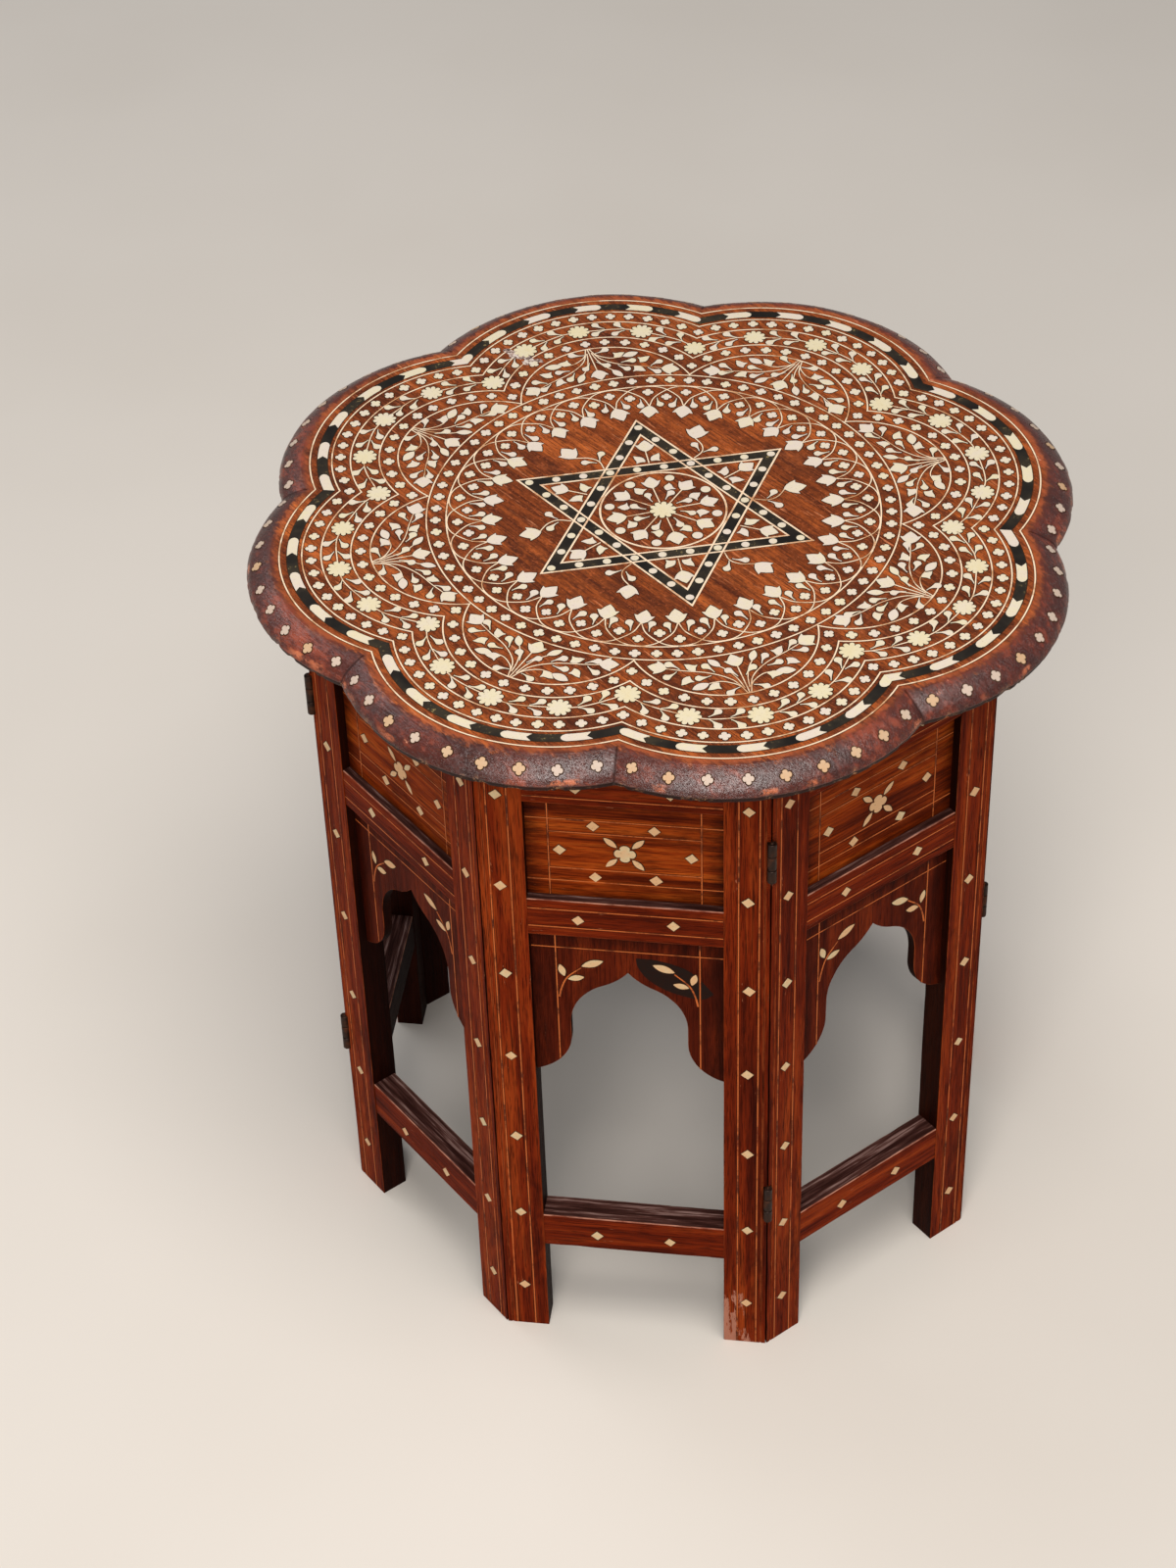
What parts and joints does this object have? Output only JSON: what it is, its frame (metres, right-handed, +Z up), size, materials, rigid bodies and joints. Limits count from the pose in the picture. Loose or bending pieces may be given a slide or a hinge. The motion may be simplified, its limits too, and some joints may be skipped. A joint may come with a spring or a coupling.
{
  "type": "folding side table",
  "caption": "Octagonal folding side table with a lobed, bone and ebony inlaid lift-off top on hinged framed panels pierced by arches.",
  "frame": {"origin": "on the floor under the middle of the top", "axes": "+Z up, the front panel faces -Y and +X is to its right"},
  "size_m": [0.402, 0.402, 0.4273],
  "materials": {
    "frame_wood": "old waxed rosewood, reddish brown with darker grain",
    "board_wood": "old waxed rosewood, warmer and redder than the frames",
    "top_wood": "waxed rosewood with worn orange edge",
    "ebony": "polished black ebony inlay",
    "bone": "polished bone inlay, cream",
    "hinge_iron": "dark worn iron"
  },
  "bodies": {
    "front": {"front_frame": "frame_wood", "front_inset_panel": "board_wood", "front_arch_panel": "board_wood", "front_lower_left_hinge_pin_leaf": "hinge_iron", "front_lower_right_hinge_pin_leaf": "hinge_iron", "front_upper_left_hinge_pin_leaf": "hinge_iron", "front_upper_right_hinge_pin_leaf": "hinge_iron"},
    "front_right": {"front_right_frame": "frame_wood", "front_right_inset_panel": "board_wood", "front_right_arch_panel": "board_wood", "front_right_lower_left_hinge_leaf": "hinge_iron", "front_right_lower_right_hinge_leaf": "hinge_iron", "front_right_upper_left_hinge_leaf": "hinge_iron", "front_right_upper_right_hinge_leaf": "hinge_iron"},
    "right": {"right_frame": "frame_wood", "right_inset_panel": "board_wood", "right_arch_panel": "board_wood", "right_lower_left_hinge_pin_leaf": "hinge_iron", "right_lower_right_hinge_pin_leaf": "hinge_iron", "right_upper_left_hinge_pin_leaf": "hinge_iron", "right_upper_right_hinge_pin_leaf": "hinge_iron"},
    "back_right": {"back_right_frame": "frame_wood", "back_right_inset_panel": "board_wood", "back_right_arch_panel": "board_wood", "back_right_lower_left_hinge_leaf": "hinge_iron", "back_right_lower_right_hinge_leaf": "hinge_iron", "back_right_upper_left_hinge_leaf": "hinge_iron", "back_right_upper_right_hinge_leaf": "hinge_iron"},
    "back": {"back_frame": "frame_wood", "back_inset_panel": "board_wood", "back_arch_panel": "board_wood", "back_lower_left_hinge_pin_leaf": "hinge_iron", "back_lower_right_hinge_pin_leaf": "hinge_iron", "back_upper_left_hinge_pin_leaf": "hinge_iron", "back_upper_right_hinge_pin_leaf": "hinge_iron"},
    "back_left": {"back_left_frame": "frame_wood", "back_left_inset_panel": "board_wood", "back_left_arch_panel": "board_wood", "back_left_lower_left_hinge_leaf": "hinge_iron", "back_left_lower_right_hinge_leaf": "hinge_iron", "back_left_upper_left_hinge_leaf": "hinge_iron", "back_left_upper_right_hinge_leaf": "hinge_iron"},
    "left": {"left_frame": "frame_wood", "left_inset_panel": "board_wood", "left_arch_panel": "board_wood", "left_lower_left_hinge_pin_leaf": "hinge_iron", "left_lower_right_hinge_pin_leaf": "hinge_iron", "left_upper_left_hinge_pin_leaf": "hinge_iron", "left_upper_right_hinge_pin_leaf": "hinge_iron"},
    "front_left": {"front_left_frame": "frame_wood", "front_left_inset_panel": "board_wood", "front_left_arch_panel": "board_wood", "front_left_lower_left_hinge_leaf": "hinge_iron", "front_left_lower_right_hinge_leaf": "hinge_iron", "front_left_upper_left_hinge_leaf": "hinge_iron", "front_left_upper_right_hinge_leaf": "hinge_iron"},
    "top": {"tabletop": "top_wood", "border_band": "ebony", "star_band": "ebony", "medallion_ring": "bone"}
  },
  "joints": [
    {"name": "front_right_hinge", "type": "hinge", "parent": "front", "child": "front_right", "pos_m": [0.07057, -0.17036, 0], "axis": [0, 0, -1], "range_deg": [0, 205]},
    {"name": "right_hinge", "type": "hinge", "parent": "front_right", "child": "right", "pos_m": [0.15462, -0.06405, 0], "axis": [0, 0, 1], "range_deg": [0, 123]},
    {"name": "back_right_hinge", "type": "hinge", "parent": "right", "child": "back_right", "pos_m": [0.17036, 0.07057, 0], "axis": [0, 0, -1], "range_deg": [0, 41]},
    {"name": "back_hinge", "type": "hinge", "parent": "back_right", "child": "back", "pos_m": [0.06405, 0.15462, 0], "axis": [0, 0, 1], "range_deg": [0, 123]},
    {"name": "front_left_hinge", "type": "hinge", "parent": "front", "child": "front_left", "pos_m": [-0.06405, -0.15462, 0], "axis": [0, 0, -1], "range_deg": [0, 123]},
    {"name": "left_hinge", "type": "hinge", "parent": "front_left", "child": "left", "pos_m": [-0.17036, -0.07057, 0], "axis": [0, 0, 1], "range_deg": [0, 41]},
    {"name": "back_left_hinge", "type": "hinge", "parent": "left", "child": "back_left", "pos_m": [-0.15462, 0.06405, 0], "axis": [0, 0, -1], "range_deg": [0, 123]},
    {"name": "top_lift", "type": "slide", "parent": "front", "child": "top", "axis": [0, 0, 1], "range_m": [0, 0.15]}
  ],
  "couplings": [
    {"joint": "right_hinge", "follows": "front_right_hinge", "ratio": 0.6},
    {"joint": "back_right_hinge", "follows": "front_right_hinge", "ratio": 0.2},
    {"joint": "back_hinge", "follows": "front_right_hinge", "ratio": 0.6},
    {"joint": "front_left_hinge", "follows": "front_right_hinge", "ratio": 0.6},
    {"joint": "left_hinge", "follows": "front_right_hinge", "ratio": 0.2},
    {"joint": "back_left_hinge", "follows": "front_right_hinge", "ratio": 0.6}
  ]
}
